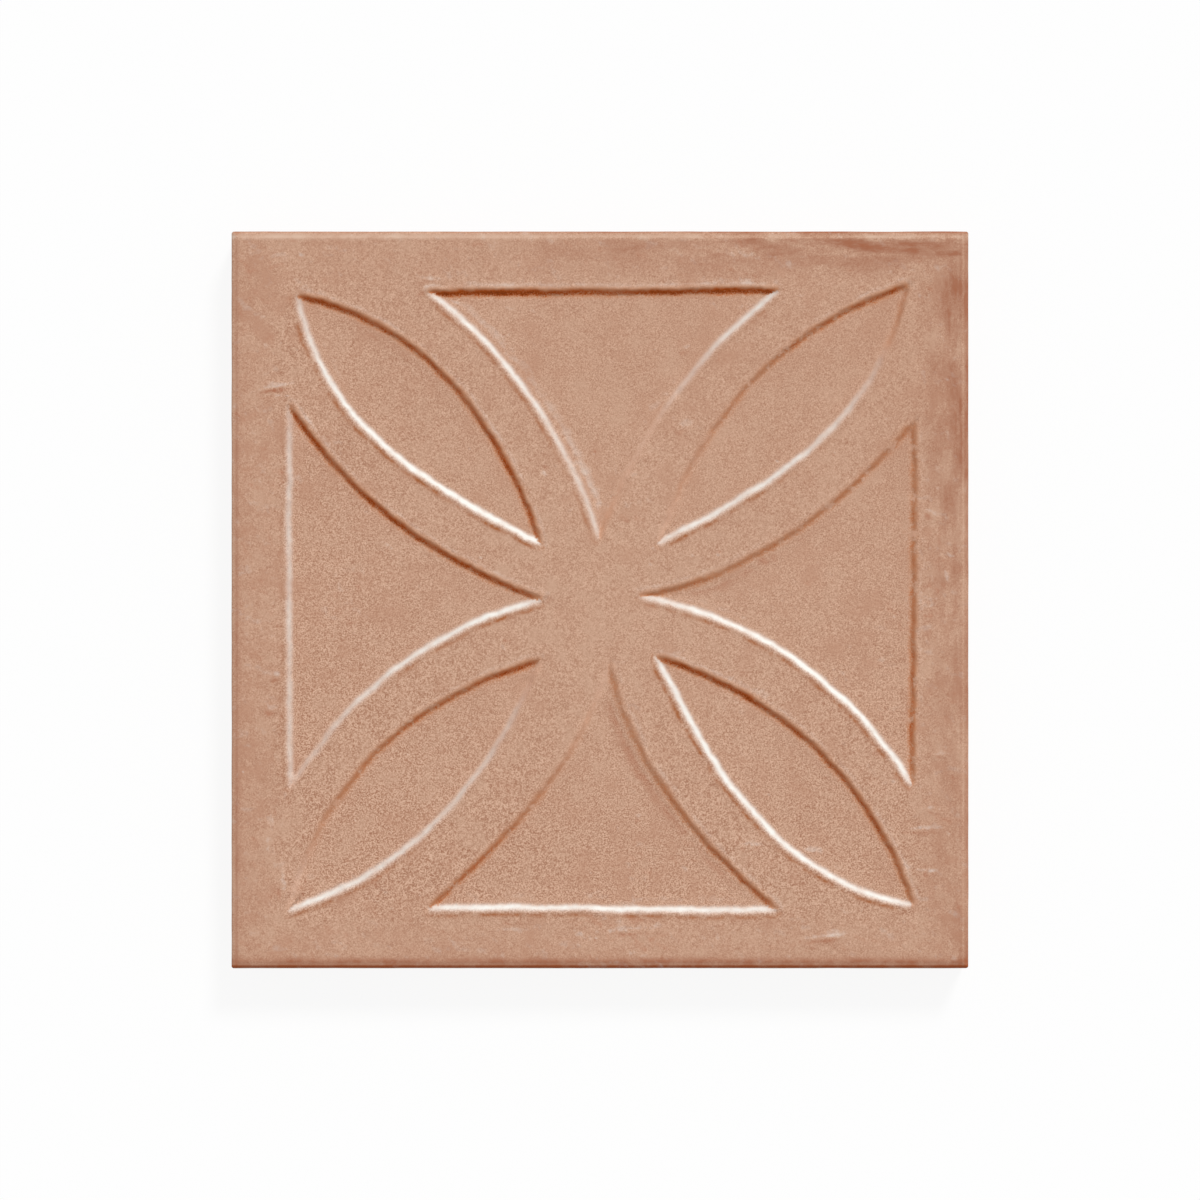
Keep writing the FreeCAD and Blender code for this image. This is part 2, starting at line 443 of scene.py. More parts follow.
def face_points(sizes, reach):
    """Mesh points for the face inside a square: rows that follow the recess walls, and a hexagonal fill."""
    dense = 0.1 * MM
    closest = 0.17 * MM
    mark_gap = 2 * closest
    fill_gap = 3.2 * closest
    mark_density = 13
    samples = []
    for recess in RECESSES.values():
        for side in recess_sides(recess):
            count = math.ceil((side[3] - side[0]).length / dense)
            samples.append(interpolate_bezier(*side, count + 1))
    walls = kdtree.KDTree(sum(map(len, samples)))
    for number, point in enumerate(point for line in samples for point in line):
        walls.insert(point.to_3d(), number)
    walls.balance()
    kept = {}

    def keep(point, gap):
        cell = (round(point.x / closest), round(point.y / closest))
        span = math.ceil(gap / closest)
        for across in range(-span, span + 1):
            for up in range(-span, span + 1):
                other = kept.get((cell[0] + across, cell[1] + up))
                if other and (other - point).length < gap:
                    return
        kept[cell] = point

    stride = max(1, round(sizes.wall_spacing / dense))
    for offset in (row * MM for row in WALL_ROWS):
        for line in samples:
            for index in range(0, len(line), stride):
                along = (line[min(index + 1, len(line) - 1)] - line[max(index - 1, 0)]).normalized()
                across = Vector((along.y, -along.x))
                for shift in (offset, -offset):
                    point = line[index] + across * shift
                    if walls.find(point.to_3d())[2] >= offset - dense:
                        keep(point, closest)
    rng = random.Random(sizes.seed)
    for x, y, length, width, _, angle in MARKS:
        turn = math.radians(angle)
        for _ in range(int(length * width * mark_density)):
            along = rng.uniform(-1, 1) * length * MM
            across = rng.uniform(-1, 1) * width * MM
            point = Vector((x, y)) * MM + Vector((math.cos(turn), math.sin(turn))) * along
            keep(point + Vector((-math.sin(turn), math.cos(turn))) * across, mark_gap)
    step = sizes.face_spacing
    jitter = 0.16 * step
    clear = WALL_ROWS[-1] * MM + 0.35 * step
    row_height = step * math.sqrt(3) / 2
    rows, columns = int(reach / row_height), int(reach / step) + 1
    for row in range(-rows, rows + 1):
        for column in range(-columns, columns + 1):
            point = Vector(((column + row % 2 / 2) * step, row * row_height))
            point += Vector((rng.uniform(-jitter, jitter), rng.uniform(-jitter, jitter)))
            if walls.find(point.to_3d())[2] > clear:
                keep(point, fill_gap)
    inside = reach - 0.4 * step
    return [point for point in kept.values() if max(abs(point.x), abs(point.y)) < inside]


def side_steps(sizes):
    """Where the mesh is divided along a side: at the edges of the key grooves and evenly between them."""
    half_mouth = sizes.groove_mouth / 2
    half_bed = half_mouth - sizes.groove_depth
    half_pitch = sizes.groove_pitch / 2
    edges = (-half_pitch, -half_mouth, -half_bed, half_bed, half_mouth, half_pitch)
    divisions = (3, 1, 4, 1, 3)
    offsets = [first + (second - first) * step / count
               for first, second, count in zip(edges, edges[1:], divisions) for step in range(count)]
    grooves = round(2 * TILE_HALF / sizes.groove_pitch)
    places = [(index - (grooves - 1) / 2) * sizes.groove_pitch + offset
              for index in range(grooves) for offset in offsets]
    limit = TILE_HALF - 4 * MM
    return [place for place in places if abs(place) < limit]


def square_ring(half, radius, steps):
    """A rounded square, counter-clockwise from the right-hand side."""
    arc_steps = 6
    arc_middle = half - radius
    side = [Vector((half, place)) for place in steps]
    for step in range(arc_steps + 1):
        angle = step * math.pi / 2 / arc_steps
        side.append(Vector((arc_middle + radius * math.cos(angle), arc_middle + radius * math.sin(angle))))
    ring = []
    for quarter in range(4):
        cosine, sine = math.cos(quarter * math.pi / 2), math.sin(quarter * math.pi / 2)
        ring += [Vector((x * cosine - y * sine, x * sine + y * cosine)) for x, y in side]
    return ring


def edge_drop(sizes, inset, roll):
    """How far the face has fallen at a distance in from one side of the tile."""
    rounded = roll - math.sqrt(max(0.0, roll ** 2 - (roll - inset) ** 2)) if inset < roll else 0.0
    ease = 0.35 * sizes.bevel_width
    gone = sizes.bevel_width - inset
    fall = math.tan(sizes.bevel_slope)
    bevel = 0.0
    if gone > ease:
        bevel = fall * (gone - ease / 2)
    elif gone > 0:
        bevel = fall * gone ** 2 / (2 * ease)
    ridge = sizes.edge_ridge * math.exp(-((inset - sizes.bevel_width - 0.3 * MM) / (0.6 * MM)) ** 2)
    line = sizes.edge_ridge * math.exp(-((inset - 1.45 * MM) / (0.3 * MM)) ** 2)
    return rounded + bevel + line - ridge


def skin_rings(sizes, half, face_z, steps):
    """Rings of points from the face down to the underside, and how strongly the key grooves press on each."""
    rings = []
    for inset in (row * MM for row in EDGE_ROWS):
        radius = max(sizes.corner_radius - 0.4 * inset, 0.25 * MM)
        ring = []
        for point in square_ring(half - inset, radius, steps):
            reaches = (point.x, point.y, -point.x, -point.y)
            drop = max(edge_drop(sizes, half - reach, roll * MM)
                       for reach, roll in zip(reaches, EDGE_ROLLS.values()))
            ring.append(point.to_3d() + Vector((0, 0, face_z - drop)))
        rings.append((ring, 0.0))
    bevel = sizes.foot_bevel
    lower = [(0, height * MM, foot) for height, foot in SIDE_ROWS]
    lower += [(0, bevel, 1), (bevel * 0.3, bevel * 0.3, 1), (bevel, UNDERSIDE, 1)]
    for inset, height, foot in lower:
        ring = [point.to_3d() + Vector((0, 0, height))
                for point in square_ring(half - inset, sizes.corner_radius, steps)]
        rings.append((ring, foot))
    return rings


def fill(skin, loop, points, height, upward):
    """Closes a loop of the skin with a level sheet of triangles: the face, or else the underside."""
    foot_layer, face_layer = [skin.verts.layers.float[name] for name in ("foot", "face")]
    border = [vert.co.to_2d() for vert in loop]
    edges = [(index, (index + 1) % len(border)) for index in range(len(border))]
    places, _, triangles, origins, *_ = delaunay_2d_cdt(border + points, edges, [], 1, 1e-7)
    verts = []
    for place, origin in zip(places, origins):
        if origin and min(origin) < len(border):
            verts.append(loop[min(origin)])
            continue
        vert = skin.verts.new((place.x, place.y, height))
        vert[foot_layer], vert[face_layer] = (0, 1) if upward else (1, 0)
        verts.append(vert)
    for triangle in triangles:
        corners = [verts[index] for index in triangle]
        if upward != ((corners[1].co - corners[0].co).cross(corners[2].co - corners[0].co).z > 0):
            corners.reverse()
        skin.faces.new(corners)


def blank_mesh(sizes):
    """The tile before it is pressed, as one closed skin: flat face, bevelled edges, sides and underside."""
    half = TILE_HALF - sizes.margin
    face_z = TILE_TOP - sizes.face_rest
    steps = side_steps(sizes)
    skin = bmesh.new()
    for name in ("foot", "face"):
        skin.verts.layers.float.new(name)
    foot_layer = skin.verts.layers.float["foot"]
    loops = []
    for ring, foot in skin_rings(sizes, half, face_z, steps):
        loop = [skin.verts.new(point) for point in ring]
        for vert in loop:
            vert[foot_layer] = foot
        loops.append(loop)
    for upper, lower in zip(loops, loops[1:]):
        for index in range(len(upper)):
            after = (index + 1) % len(upper)
            skin.faces.new((upper[index], lower[index], lower[after], upper[after]))
    fill(skin, loops[0], face_points(sizes, half - EDGE_ROWS[0] * MM), face_z, True)
    row_spacing = 3.2 * MM
    limit = half - sizes.foot_bevel - MM
    rows = [index * row_spacing for index in range(-30, 31)]
    underside = [Vector((place, row)) for place in steps for row in rows if max(abs(place), abs(row)) < limit]
    fill(skin, loops[-1], underside, UNDERSIDE, False)
    for vert in skin.verts:
        shape_by_hand(vert, half, face_z)
    mesh = bpy.data.meshes.new("floor tile blank")
    skin.to_mesh(mesh)
    skin.free()
    mesh.shade_smooth()
    return mesh


def shape_by_hand(vert, half, face_z):
    """Adds the marks on the face, and lets the sides wander inwards a little."""
    if vert.co.z > face_z - 0.4 * MM:
        for x, y, length, width, height, angle in MARKS:
            offset = vert.co.to_2d() - Vector((x, y)) * MM
            turn = math.radians(angle)
            along = (offset.x * math.cos(turn) + offset.y * math.sin(turn)) / (length * MM / 2)
            across = (offset.y * math.cos(turn) - offset.x * math.sin(turn)) / (width * MM / 2)
            if abs(along) < 2.5 and abs(across) < 2.5:
                vert.co.z += height * MM * math.exp(-along ** 2 - across ** 2)
    reach = max(abs(vert.co.x), abs(vert.co.y))
    edge_band = 1.5 * MM
    if reach > half - edge_band:
        most = 0.12 * MM
        wander = 0.5 + 0.5 * noise.noise(vert.co / (14 * MM)) + 0.25 * noise.noise(vert.co / (4 * MM))
        pull = most * max(0.0, wander) * (reach - half + edge_band) / edge_band
        vert.co.x -= math.copysign(pull, vert.co.x) * (abs(vert.co.x) / reach) ** 24
        vert.co.y -= math.copysign(pull, vert.co.y) * (abs(vert.co.y) / reach) ** 24


def end_tree(wire, end, geometry, material, chosen=True):
    """Ends a geometry tree with a real mesh and its material."""
    real = wire.add("GeometryNodeRealizeInstances", geometry).outputs[0]
    done = wire.add("GeometryNodeSetMaterial", real, {"Selection": chosen, "Material": material}).outputs[0]
    wire.feed(end["Geometry"], done)
    return wire.tree


def relief_tree():
    """Presses the recesses into the face. The depth follows the distance to the outlines, which wavers as a
    hand does, and clay stands up in a lip outside the walls."""
    wire, given, end = new_tree(
        "GeometryNodeTree", "press relief",
        ("Geometry", "Outlines", "Depth", "Wall Width", "Waver", "Lip Height", "Lip Reach", "Undulation",
         "Light Way", "Seed", "Material"),
        ("Geometry",))
    recesses = wire.add("GeometryNodeObjectInfo", given["Outlines"]).outputs["Geometry"]
    plan = wire.vector("MULTIPLY", wire.add("GeometryNodeInputPosition").outputs[0], (1, 1, 0))
    above = wire.vector("ADD", plan, (0, 0, 1))
    cloud = wire.vector("ADD", plan, wire.joined(given["Seed"], given["Seed"], 0))
    near = wire.add("GeometryNodeProximity", recesses, {"Sample Position": plan}, target_element="EDGES")
    down = {"Source Position": above, "Ray Direction": (0, 0, -1), "Ray Length": 2.0}
    hit = wire.add("GeometryNodeRaycast", recesses, down).outputs["Is Hit"]
    signed = wire.product(near.outputs["Distance"], wire.ramp(hit, 0, 1, -1, 1))
    nearest = wire.add("GeometryNodeSampleNearest", recesses, plan, domain="POINT").outputs[0]
    turned = wire.measure("DOT_PRODUCT", wire.carried("inward", "FLOAT_VECTOR"), given["Light Way"])
    facing, press = [wire.add("GeometryNodeSampleIndex", recesses, {"Value": value, "Index": nearest},
                              data_type="FLOAT", domain="POINT").outputs[0]
                     for value in (turned, wire.carried("press"))]
    stray = wire.scaled(wire.noise(cloud, 110, 1), 1.1, wire.noise(cloud, 420, 2, 0.6))
    edge = wire.scaled(stray, given["Waver"], signed)
    half_wall = wire.math("DIVIDE", given["Wall Width"], 2)
    rim = wire.product(half_wall, -1)
    steep = wire.ramp(edge, rim, half_wall, smooth=True)
    broad = wire.ramp(edge, rim, 5 * MM, smooth=True)
    pressed = wire.add("ShaderNodeMix", wire.math("MINIMUM", press, 1), {"A": broad, "B": steep}).outputs[0]
    fall = wire.product(pressed, given["Depth"], -1)
    lip = wire.bell(edge, wire.product(given["Lip Reach"], -1), 0.55 * MM)
    rough_lip = wire.ramp(wire.noise(cloud, 300, 3, 0.6), -0.25, 0.2, 0.25, 1)
    raised = wire.product(lip, rough_lip, press, given["Lip Height"])
    ripples = wire.scaled(wire.noise(cloud, 170, 2), 0.28, wire.noise(cloud, 26, 1))
    waves = wire.product(ripples, given["Undulation"])
    lift = wire.product(wire.total(fall, raised, waves), wire.carried("face"))
    made = wire.raise_by(given["Geometry"], lift)
    # How far the surface and each wall lean towards the key light, kept for the painted light and shade of
    # the face material
    slope = wire.measure("DOT_PRODUCT", wire.add("GeometryNodeInputNormal").outputs[0], given["Light Way"])
    for name, value in (("slope", slope), ("edge", edge), ("facing", facing), ("press", press)):
        made = wire.add("GeometryNodeStoreNamedAttribute", made, {"Name": name, "Value": value},
                        data_type="FLOAT", domain="POINT").outputs[0]
    return end_tree(wire, end, made, given["Material"])


def groove_tree():
    """Presses the key grooves into the underside and roughens it."""
    wire, given, end = new_tree(
        "GeometryNodeTree", "key grooves", ("Geometry", "Pitch", "Mouth", "Depth", "Material"), ("Geometry",))
    position = wire.add("GeometryNodeInputPosition").outputs[0]
    half_pitch = wire.math("DIVIDE", given["Pitch"], 2)
    from_middle = wire.math("SUBTRACT", half_pitch, wire.math("PINGPONG", wire.axes(position)[0], half_pitch))
    half_mouth = wire.math("DIVIDE", given["Mouth"], 2)
    half_bed = wire.math("SUBTRACT", half_mouth, given["Depth"])
    cut = wire.ramp(from_middle, half_bed, half_mouth, 1, 0)
    sand = wire.product(wire.total(wire.noise(position, 260, 3, 0.6), 0.5), 0.16 * MM)
    foot = wire.carried("foot")
    made = wire.raise_by(given["Geometry"], wire.product(wire.scaled(cut, given["Depth"], sand), foot))
    return end_tree(wire, end, made, given["Material"], wire.math("GREATER_THAN", foot, 0.95))


def run_tree(piece, tree, values):
    """Runs a tree on a piece and keeps the result as its plain mesh."""
    modifier = piece.modifiers.new(tree.name, "NODES")
    modifier.node_group = tree
    for item in tree.interface.items_tree:
        if item.in_out == "INPUT" and item.name in values:
            modifier[item.identifier] = values[item.name]
    graph = bpy.context.evaluated_depsgraph_get()
    result = bpy.data.meshes.new_from_object(piece.evaluated_get(graph), depsgraph=graph)
    piece.modifiers.remove(modifier)
    piece.data = result
    result.shade_smooth()


def shaded(colour, *shades):
    """A colour made darker or paler: all its channels by one shade, or each by its own."""
    return [min(1.0, channel * shade) for channel, shade in zip(colour, shades * 3)]


def grain_group():
    """Sandy grain and cloudy mottle, shared by every clay finish."""
    wire, given, end = new_tree(
        "ShaderNodeTree", "clay grain", ("Vector", "Grain Size", "Cloud Size"), ("Grain", "Cloud", "Height"))
    fine = wire.math("DIVIDE", 1, given["Grain Size"])
    sand = wire.noise(given["Vector"], fine, 1, 0.6)
    grit = wire.noise(given["Vector"], wire.product(fine, 0.43), 2, 0.55)
    cloud = wire.noise(given["Vector"], wire.math("DIVIDE", 1, given["Cloud Size"]), 3, 0.6)
    grain = wire.scaled(grit, 0.28, sand)
    wire.feed_all(end, {"Grain": grain, "Cloud": cloud, "Height": wire.scaled(cloud, 0.3, grain)})
    return wire.tree


def dent_group():
    """Dents and scattered pits that the press left: their height, and how far each leans towards the key
    light, for painted light and shade.
    """
    wire, given, end = new_tree(
        "ShaderNodeTree", "press dents", ("Vector", "Light Way", "Size", "Pits"),
        ("Height", "Lean", "Pit", "Pit Lean"))
    scale = wire.math("DIVIDE", 1, given["Size"])
    stride = wire.product(given["Size"], 0.13)
    step = wire.vector("MULTIPLY", given["Light Way"], wire.joined(stride, stride, stride))
    before, after = [wire.noise(wire.vector(way, given["Vector"], step), scale, 3, 0.62)
                     for way in ("SUBTRACT", "ADD")]
    cells = wire.add("ShaderNodeTexVoronoi", {"Vector": given["Vector"], "Scale": given["Pits"]},
                     voronoi_dimensions="2D").outputs
    chance = wire.axes(cells["Color"])
    away = wire.vector("SUBTRACT", given["Vector"], cells["Position"])
    towards = wire.measure("DOT_PRODUCT", away, given["Light Way"])
    radius = wire.ramp(chance[1], 0, 1, 0.3 * MM, 0.8 * MM)
    pit = wire.bell(wire.math("DIVIDE", cells["Distance"], given["Pits"]), 0, radius)
    up_or_down = wire.math("SIGN", wire.math("SUBTRACT", chance[2], 0.3))
    sunk = wire.product(wire.ramp(chance[0], 0.5, 1), up_or_down)
    wire.feed_all(end, {"Height": after, "Lean": wire.math("SUBTRACT", before, after),
                        "Pit": wire.product(pit, sunk),
                        "Pit Lean": wire.product(wire.math("DIVIDE", towards, radius), pit, sunk)})
    return wire.tree


def clay_base(name, sand, colours, cloud_size):
    """The start of a clay material: the material, its wiring, its place and its grain."""
    material = bpy.data.materials.new(name)
    material.use_nodes = True
    wire = Wiring(material.node_tree)
    place = wire.add("ShaderNodeTexCoord").outputs["Object"]
    sizes = {"Vector": place, "Grain Size": colours.grain_size, "Cloud Size": cloud_size}
    return material, wire, place, wire.add("ShaderNodeGroup", sizes, node_tree=sand).outputs


def grained(wire, grain, colour, contrast):
    """A clay colour speckled by its grain."""
    cloudy = wire.scaled(grain["Cloud"], 0.2, 0.5)
    tone = wire.scaled(grain["Grain"], contrast, cloudy, clamp=True)
    return wire.blend(tone, shaded(colour, 0.68, 0.54, 0.46), shaded(colour, 1.32, 1.46, 1.54))


def finish_clay(wire, colours, colour, roughness, height, strength):
    """The end of a clay material: its shader and its bump."""
    shader = wire.tree.nodes["Principled BSDF"]
    relief = {"Strength": strength, "Distance": colours.grain_height, "Height": height}
    bump = wire.add("ShaderNodeBump", relief)
    wire.feed_all(shader.inputs, {"Base Color": colour, "Roughness": roughness,
                                  "Normal": bump.outputs[0], "Specular IOR Level": 0.12})


def mottled_clay(wire, place, grain, colours, across, outer):
    """Plain clay of the face: sand that is coarser in the middle and to the lower left, and faint patches."""
    body = colours.body
    from_middle = wire.measure("LENGTH", place)
    down_left = wire.measure("DOT_PRODUCT", place, (-0.42, -0.9, 0))
    sandy = wire.ramp(down_left, -80 * MM, 80 * MM, 1.6, 3.4)
    sandy = wire.scaled(wire.bell(from_middle, 0, 30 * MM), 0.6, sandy)
    sandy = wire.math("MINIMUM", sandy, wire.ramp(outer, BORDER_START, BORDER_FULL, 3.4, 1.5))
    colour = grained(wire, grain, body, sandy)
    patches = wire.scaled(wire.noise(place, 45, 4, 0.6), 0.7, wire.noise(place, 190, 3, 0.6))
    patches = wire.product(patches, wire.ramp(across, BORDER_START, BORDER_FULL, 1, 1.7))
    flushed, sallow = shaded(body, 0.93, 0.86, 0.83), shaded(body, 1.08, 1.15, 1.18)
    colour = wire.blend(wire.ramp(patches, 0, 0.3, 0, 0.7), colour, flushed)
    middle = wire.bell(from_middle, 0, 48 * MM)
    return wire.blend(wire.scaled(middle, 0.35, wire.ramp(patches, 0, -0.3, 0, 0.6)), colour, sallow)


def washed_and_shaded_edges(wire, place, colour, colours):
    """Brown painted shade and pale painted light in bands along the four sides of the face, and brown wash
    streaked into the plain border.
    """
    axes = wire.axes(place)
    from_side = {side: wire.scaled(axes[axis], way, TILE_HALF) for side, (axis, way) in SIDES.items()}
    patches = wire.ramp(wire.noise(place, 230, 3, 0.6), -0.2, 0.2, 0.5, 1.5)
    edge_shade_bands = 0.0
    # Painted shade and light: brown and pale bands along each side, darkest along the bottom, which faces
    # away from the key light
    for side, bands in EDGE_SHADE_BANDS.items():
        for middle, width, strength in bands:
            line = wire.product(wire.bell(from_side[side], middle * MM, width * MM), patches, strength)
            edge_shade_bands = wire.total(edge_shade_bands, line)
    streaks = []
    for stretch in ((0.3, 1, 1), (1, 0.3, 1)):
        drawn_out = wire.noise(wire.vector("MULTIPLY", place, stretch), 260, 4, 0.65)
        streaks.append(wire.ramp(drawn_out, -0.17, 0.17, -0.05, 1.8))
    border = 0.0
    for side, (reach, first, last) in BORDER_WASH.items():
        along = 1 - SIDES[side][0]
        strength = wire.ramp(axes[along], -0.4 * TILE_HALF, 0.6 * TILE_HALF, first, last)
        near = wire.ramp(from_side[side], 2 * MM, reach * MM, 1, 0, smooth=True)
        border = wire.math("MAXIMUM", border, wire.product(near, strength, streaks[along]))
    above_sides = wire.ramp(axes[2], 9 * MM, 12.8 * MM, 0.15, 1)
    wash_and_edge_shade = wire.product(wire.total(edge_shade_bands, border), above_sides)
    browned, paled = shaded(colours.body, 0.70, 0.50, 0.42), shaded(colours.body, 1.2, 1.42, 1.56)
    colour = wire.blend(wire.math("MINIMUM", wash_and_edge_shade, 0.9), colour, browned)
    colour = wire.blend(wire.ramp(wash_and_edge_shade, 0.8, 1.7, 0, 0.75), colour, shaded(colours.stain_and_shade, 0.72))
    return wire.blend(wire.product(wash_and_edge_shade, -1), colour, paled)


def dented_clay(wire, place, colour, colours, dents, outer):
    """Painted light and shade in the dents and on the waves of the plain face: pale where a place leans
    towards the key light and brown where it leans away.
    """
    noisy = wire.ramp(wire.noise(place, 38, 2), 0.05, 0.2, 0, 0.5)
    worked = wire.total(wire.ramp(outer, BORDER_START, BORDER_FULL, 0.3, 0.75), noisy)
    inner = wire.ramp(outer, 94.5 * MM, 96.5 * MM, 1, 0)
    off_walls = wire.ramp(wire.math("ABSOLUTE", wire.attribute("edge")), 1.4 * MM, 3 * MM)
    # Painted light and shade: waves, marks, dents and pits paler where they lean towards the key light,
    # browner where they lean away
    waves = wire.product(wire.attribute("slope"), off_walls, inner, 1.8)
    lean_to_light = wire.scaled(wire.product(dents["Lean"], worked), 0.8, waves)
    lean_to_light = wire.scaled(dents["Pit Lean"], -0.45, lean_to_light)
    colour = wire.blend(wire.ramp(lean_to_light, 0.05, 0.6, 0, 0.7), colour, colours.painted_highlight)
    return wire.blend(wire.ramp(lean_to_light, -0.05, -0.6, 0, 0.9), colour, shaded(colours.stain_and_shade, 0.8))


def wall_tints(wire, place, grain, colour, colours):
    """Painted shade and painted highlight on the recess walls: brown where a wall faces away from the key
    light and pale where it faces it, a brown painted shade line beyond the bright walls and a faint painted
    light halo beyond the dark ones. Gives the colour, and how thickly painted shade or highlight covers the
    clay."""
    edge, facing, press = [wire.attribute(name) for name in ("edge", "facing", "press")]
    speckle = wire.product(wire.noise(place, 800, 2, 0.6), 0.5 * MM)
    ragged = wire.scaled(grain["Grain"], 1.1 * MM, speckle)
    place_in = wire.total(edge, ragged)
    soft_place = wire.scaled(ragged, 0.35, edge)
    uneven = wire.total(wire.noise(place, 70, 2, 0.6), wire.noise(place, 330, 2, 0.6))
    blotches = wire.noise(place, 300, 3, 0.7)
    weak = wire.bell(facing, -0.35, 0.3)
    patchy = wire.scaled(wire.ramp(blotches, -0.135, -0.02, -1, 0.42), weak, 1)
    firm = wire.product(press, wire.ramp(uneven, -0.3, 0.3, 0.72, 1.28), patchy)
    gaps = wire.product(wire.ramp(blotches, -0.055, -0.135, 0, 0.9), weak)
    # Painted light: walls that lie along the light, and gaps in the painted shade, made paler than the clay
    level = wire.ramp(wire.math("ABSOLUTE", facing), 0, 0.6, 1, 0)
    painted_light_on_walls = wire.product(wire.bell(place_in, 0, 0.8 * MM), wire.scaled(level, 0.5, gaps))
    colour = wire.blend(painted_light_on_walls, colour, shaded(colours.body, 1.3))
    broken = wire.product(wire.ramp(wire.noise(place, 150, 3, 0.7), -0.12, 0.1),
                          wire.ramp(wire.noise(place, 900, 2, 0.6), -0.2, 0.2, 0.65, 1.2))
    # Painted shade: a brown line just beyond the walls that face the key light
    shade_beyond_bright = wire.product(wire.bell(soft_place, -1.95 * MM, 0.6 * MM), wire.ramp(facing, 0.35, 0.7))
    line = wire.product(shade_beyond_bright, broken, press, 0.85)
    colour = wire.blend(line, colour, shaded(colours.thin_shade, 0.69, 0.5, 0.28))
    # Painted light: a faint pale halo beyond the walls that face away from the key light
    light_beyond_dark = wire.product(wire.bell(place_in, -1.9 * MM, 0.6 * MM), wire.ramp(facing, -0.3, -0.8))
    colour = wire.blend(wire.product(light_beyond_dark, broken, 0.1), colour, colours.painted_highlight)
    specks = wire.ramp(grain["Grain"], -0.22, 0.22, 1.38, 0.66)
    # Painted shade: brown on walls that face away from the key light, deepening from thin to thick
    shade_band = wire.bell(place_in, 0.05 * MM, wire.ramp(press, 1, 1.4, 0.94 * MM, 0.84 * MM))
    painted_shade = wire.product(wire.ramp(facing, 0.08, -1), firm, specks, shade_band)
    # Painted highlight: pale on walls that face the key light
    highlight_band = wire.bell(soft_place, 0.05 * MM, 0.8 * MM)
    light = wire.product(wire.ramp(facing, -0.02, 1), firm, 1.08)
    painted_highlight = wire.math("MULTIPLY", light, highlight_band, clamp=True)
    colour = wire.blend(wire.math("MULTIPLY", painted_shade, 2, clamp=True), colour, colours.thin_shade)
    colour = wire.blend(wire.scaled(painted_shade, 1.6, -0.8, clamp=True), colour, colours.stain_and_shade)
    colour = wire.blend(wire.ramp(painted_shade, 1, 1.6, 0, 0.8), colour, shaded(colours.stain_and_shade, 0.5))
    colour = wire.blend(painted_highlight, colour, colours.painted_highlight)
    return colour, wire.math("MAXIMUM", wire.math("MINIMUM", painted_shade, 1), painted_highlight)


def face_clay(sand, pits, colours, light_way):
    """Fired clay of the face and sides: mottle, washed edges with painted shade and light along them, dents
    and waves with painted light and shade, and the painted shade and highlight on the walls.
    """
    material, wire, place, grain = clay_base("face clay", sand, colours, 30 * MM)
    across, up = [wire.math("ABSOLUTE", part) for part in wire.axes(place)[:2]]
    outer = wire.math("MAXIMUM", across, up)
    spread = {"Vector": place, "Light Way": light_way, "Size": 5.5 * MM, "Pits": 62.0}
    dents = wire.add("ShaderNodeGroup", spread, node_tree=pits).outputs
    colour = mottled_clay(wire, place, grain, colours, across, outer)
    colour = washed_and_shaded_edges(wire, place, colour, colours)
    colour = dented_clay(wire, place, colour, colours, dents, outer)
    colour, cover = wall_tints(wire, place, grain, colour, colours)
    roughness = wire.scaled(cover, -0.3, wire.scaled(grain["Grain"], 0.15, colours.roughness))
    height = wire.scaled(dents["Height"], 2, wire.scaled(dents["Pit"], -2, grain["Height"]))
    finish_clay(wire, colours, colour, roughness, height, 0.45)
    return material


def back_clay(sand, colours):
    """Unwashed clay of the underside, coarser and duller, with pale dust in the grooves."""
    material, wire, place, grain = clay_base("back clay", sand, colours, 12 * MM)
    colour = grained(wire, grain, colours.back, 0.9)
    uneven_height = wire.total(wire.axes(place)[2], wire.product(grain["Cloud"], 1.5 * MM))
    colour = wire.blend(wire.ramp(uneven_height, 0.6 * MM, 2 * MM, 0, 0.45), colour, colours.dust)
    roughness = wire.scaled(grain["Grain"], 0.1, 0.9)
    finish_clay(wire, colours, colour, roughness, grain["Height"], 1.0)
    return material


class TILE_OT_floor_tile(bpy.types.Operator):
    """Press the floor tile: its relief, its key grooves and its clay"""
    bl_idname = "tile.floor_tile"
    bl_label = "Floor tile"

    def execute(self, context):
        sizes = context.scene.tile_sizes
        colours = context.scene.tile_colours
        stage = context.scene.tile_stage
        if TILE_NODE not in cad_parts:
            raise RuntimeError("the packed model has no node named " + TILE_NODE)
        sand = grain_group()
        outlines = outline_object(sizes)
        tile = placed("pressed_tile", blank_mesh(sizes))
        # The way towards the key light across the floor: the face material paints walls, dents and waves pale
        # or brown by how far they lean towards it
        light_way = (math.sin(stage.key_azimuth), math.cos(stage.key_azimuth), 0.0)
        run_tree(tile, relief_tree(), {
            "Outlines": outlines, "Depth": sizes.relief_depth, "Wall Width": sizes.wall_width,
            "Waver": sizes.waver, "Lip Height": sizes.lip_height, "Lip Reach": sizes.lip_reach,
            "Undulation": sizes.undulation, "Light Way": light_way, "Seed": float(sizes.seed),
            "Material": face_clay(sand, dent_group(), colours, light_way)})
        run_tree(tile, groove_tree(), {
            "Pitch": sizes.groove_pitch, "Mouth": sizes.groove_mouth, "Depth": sizes.groove_depth,
            "Material": back_clay(sand, colours)})
        bpy.data.objects.remove(outlines)
        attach(tile, "root")
        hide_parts(TILE_NODE)
        return {"FINISHED"}


def seen_rays(wire):
    """1 for the rays that show a backdrop: from the camera, in a reflection or through glass."""
    path = wire.add("ShaderNodeLightPath").outputs
    mirrored = wire.math("MAXIMUM", path["Is Glossy Ray"], path["Is Transmission Ray"])
    return wire.math("MAXIMUM", path["Is Camera Ray"], mirrored)


